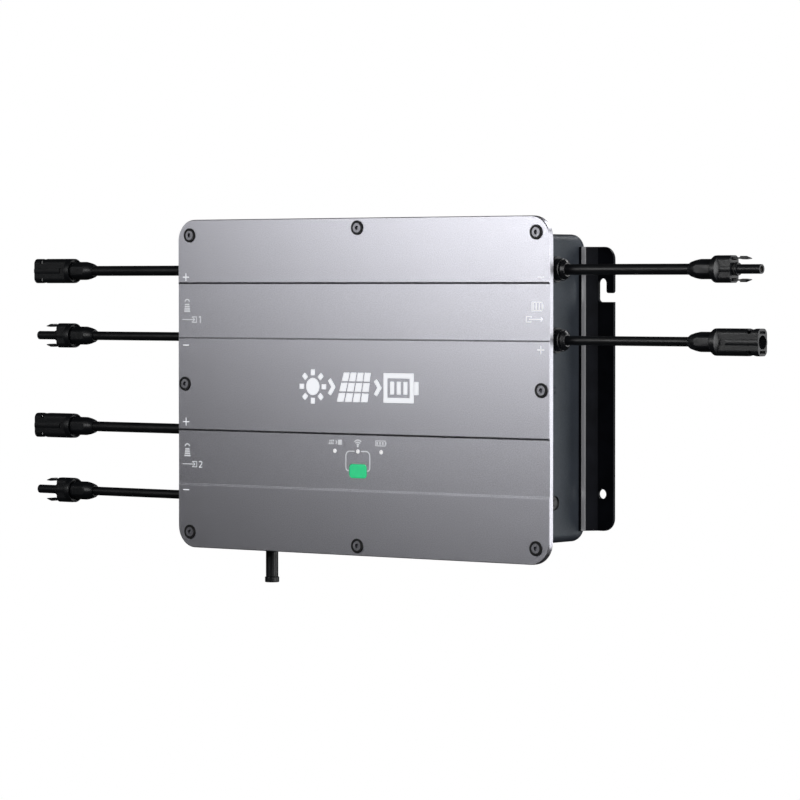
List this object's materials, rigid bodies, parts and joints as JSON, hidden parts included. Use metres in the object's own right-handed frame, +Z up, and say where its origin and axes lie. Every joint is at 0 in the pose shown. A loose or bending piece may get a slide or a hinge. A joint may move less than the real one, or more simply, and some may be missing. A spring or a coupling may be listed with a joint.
{
  "type": "solar power hub",
  "caption": "Flat wall-mounted DC solar hub: stepped aluminium cover on a dark cast box, side brackets, plug-ended leads, push button and a stub antenna.",
  "frame": {"origin": "midway between the two lower fixing holes, on the wall plane", "axes": "+X to the right as seen from the front, +Y back into the wall, +Z up"},
  "size_m": [0.6686, 0.065, 0.2717],
  "materials": {
    "cover_aluminium": "bead-blasted, clear anodised",
    "housing_coat": "dark blue-grey powder coat on cast aluminium",
    "bracket_coat": "satin black powder coat on sheet steel",
    "black_plastic": "moulded, fine satin",
    "cable_sheath": "smooth satin",
    "seal_rubber": "matte",
    "fastener_steel": "plain steel",
    "screw_head": "dark zinc",
    "button_green": "satin translucent green",
    "light_guide": "milky white",
    "led_case": "gloss",
    "circuit_board": "green solder mask",
    "dark_component": "matte",
    "ferrite": "matte grey",
    "copper_wire": "enamelled copper",
    "capacitor_sleeve": "gloss",
    "thermal_pad": "soft grey",
    "plated_contact": "tin plated",
    "shield_can": "bright tin plate"
  },
  "bodies": {
    "root": {"front_cover": "cover_aluminium", "rear_housing": "housing_coat", "cover_gasket": "seal_rubber", "cover_screws": "screw_head", "screw_bushes": "black_plastic", "mounting_bracket_left": "bracket_coat", "mounting_bracket_right": "bracket_coat", "bracket_screws": "screw_head", "vent_plug": "black_plastic", "button_switch": "dark_component", "indicator_board": "circuit_board", "indicator_spacers": "black_plastic", "indicator_screws": "fastener_steel", "light_guides": "light_guide", "status_leds": "led_case", "ribbon_cable": "cable_sheath", "main_board": "circuit_board", "board_standoffs": "fastener_steel", "board_screws": "fastener_steel", "choke_cores": "ferrite", "choke_windings": "copper_wire", "bulk_capacitors": "capacitor_sleeve", "power_transistors": "dark_component", "thermal_pads": "thermal_pad", "output_relays": "dark_component", "radio_module": "shield_can", "antenna_sleeve": "black_plastic", "antenna_tip": "black_plastic", "antenna_nut": "fastener_steel", "antenna_coax": "cable_sheath", "terminal_posts": "plated_contact", "gland_bodies": "black_plastic", "gland_nuts": "black_plastic", "gland_seals": "seal_rubber", "gland_locknuts": "black_plastic", "inner_leads": "cable_sheath", "plug_caps": "black_plastic", "plug_seals": "seal_rubber", "contact_sockets": "plated_contact", "contact_pins": "plated_contact", "lead_pv1_positive": "cable_sheath", "plug_pv1_positive": "black_plastic", "lead_pv1_negative": "cable_sheath", "plug_pv1_negative": "black_plastic", "lead_pv2_positive": "cable_sheath", "plug_pv2_positive": "black_plastic", "lead_pv2_negative": "cable_sheath", "plug_pv2_negative": "black_plastic", "lead_output_negative": "cable_sheath", "plug_output_negative": "black_plastic", "lead_output_positive": "cable_sheath", "plug_output_positive": "black_plastic"},
    "button": {"button_cap": "button_green", "switch_plunger": "black_plastic"},
    "pv1_negative_upper_latch": {"plug_pv1_negative_upper_latch": "black_plastic"},
    "pv1_negative_lower_latch": {"plug_pv1_negative_lower_latch": "black_plastic"},
    "pv2_negative_upper_latch": {"plug_pv2_negative_upper_latch": "black_plastic"},
    "pv2_negative_lower_latch": {"plug_pv2_negative_lower_latch": "black_plastic"},
    "output_negative_upper_latch": {"plug_output_negative_upper_latch": "black_plastic"},
    "output_negative_lower_latch": {"plug_output_negative_lower_latch": "black_plastic"}
  },
  "joints": [
    {"name": "button_press", "type": "slide", "parent": "root", "child": "button", "axis": [0, 1, 0], "range_m": [0, 0.0012], "stiffness_N_per_m": 900},
    {"name": "pv1_negative_upper_latch_flex", "type": "hinge", "parent": "root", "child": "pv1_negative_upper_latch", "pos_m": [-0.3055, -0.044, 0.1175], "axis": [0, -1, 0], "range_deg": [0, 6], "stiffness_Nm_per_rad": 0.3},
    {"name": "pv1_negative_lower_latch_flex", "type": "hinge", "parent": "root", "child": "pv1_negative_lower_latch", "pos_m": [-0.3055, -0.044, 0.1025], "axis": [0, 1, 0], "range_deg": [0, 6], "stiffness_Nm_per_rad": 0.3},
    {"name": "pv2_negative_upper_latch_flex", "type": "hinge", "parent": "root", "child": "pv2_negative_upper_latch", "pos_m": [-0.3055, -0.044, -0.0025], "axis": [0, -1, 0], "range_deg": [0, 6], "stiffness_Nm_per_rad": 0.3},
    {"name": "pv2_negative_lower_latch_flex", "type": "hinge", "parent": "root", "child": "pv2_negative_lower_latch", "pos_m": [-0.3055, -0.044, -0.0175], "axis": [0, 1, 0], "range_deg": [0, 6], "stiffness_Nm_per_rad": 0.3},
    {"name": "output_negative_upper_latch_flex", "type": "hinge", "parent": "root", "child": "output_negative_upper_latch", "pos_m": [0.3085, -0.044, 0.1675], "axis": [0, 1, 0], "range_deg": [0, 6], "stiffness_Nm_per_rad": 0.3},
    {"name": "output_negative_lower_latch_flex", "type": "hinge", "parent": "root", "child": "output_negative_lower_latch", "pos_m": [0.3085, -0.044, 0.1525], "axis": [0, -1, 0], "range_deg": [0, 6], "stiffness_Nm_per_rad": 0.3}
  ]
}
